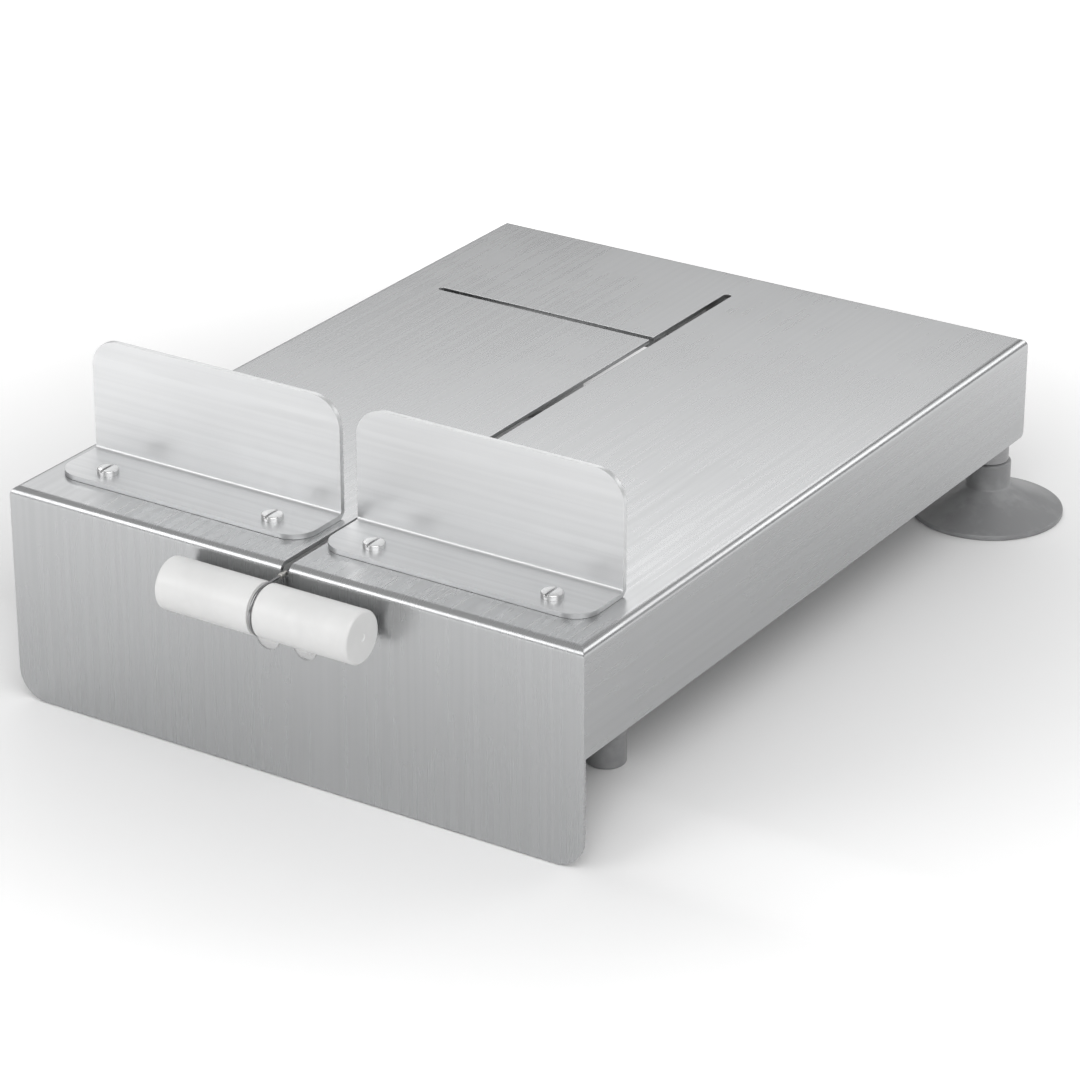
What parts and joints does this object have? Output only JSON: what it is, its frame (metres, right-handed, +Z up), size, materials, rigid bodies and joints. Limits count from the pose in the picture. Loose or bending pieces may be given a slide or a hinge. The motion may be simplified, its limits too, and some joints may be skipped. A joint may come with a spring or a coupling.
{
  "type": "wire cheese cutter",
  "caption": "Table-top wire cheese cutter: folded sheet base with a deep apron, fences, a slot for the swinging wire and its round handle, suction cups and front feet.",
  "frame": {"origin": "below the middle of the whole outline in plan, at the height of the apron's lower edge", "axes": "+X to the right, +Y to the rear, away from the handle, +Z up"},
  "size_m": [0.35, 0.4512, 0.159],
  "materials": {
    "base_sheet": "satin",
    "fence_sheet": "satin",
    "bright_steel": "bright zinc",
    "leg_steel": "turned",
    "wire_steel": "drawn",
    "ferrule_steel": "crimped",
    "rubber": "matte",
    "handle_plastic": "satin, light grey"
  },
  "bodies": {
    "base": {"base_plate": "base_sheet", "left_fence": "fence_sheet", "right_fence": "fence_sheet", "fence_screws": "bright_steel", "fence_washers": "bright_steel", "fence_nuts": "bright_steel", "apron_studs": "bright_steel", "apron_stud_washers": "bright_steel", "apron_stud_nuts": "bright_steel", "anchor_bracket": "base_sheet", "anchor_pin": "bright_steel", "anchor_clip": "bright_steel", "weld_studs": "bright_steel", "front_left_leg": "leg_steel", "front_right_leg": "leg_steel", "rear_left_leg": "leg_steel", "rear_right_leg": "leg_steel", "front_left_foot": "rubber", "front_right_foot": "rubber", "rear_left_cup": "rubber", "rear_right_cup": "rubber", "cup_studs": "bright_steel"},
    "wire": {"cutting_wire": "wire_steel", "wire_eyelet": "bright_steel", "rear_ferrule": "ferrule_steel", "front_ferrule": "ferrule_steel"},
    "handle": {"handle": "handle_plastic"}
  },
  "joints": [
    {"name": "wire_swing", "type": "hinge", "parent": "base", "child": "wire", "pos_m": [0, 0.16465, 0.092], "axis": [-1, 0, 0], "range_deg": [0, 90]},
    {"name": "handle_roll", "type": "hinge", "parent": "wire", "child": "handle", "pos_m": [0, -0.21365, 0.08785], "axis": [1, 0, 0], "continuous": true}
  ]
}
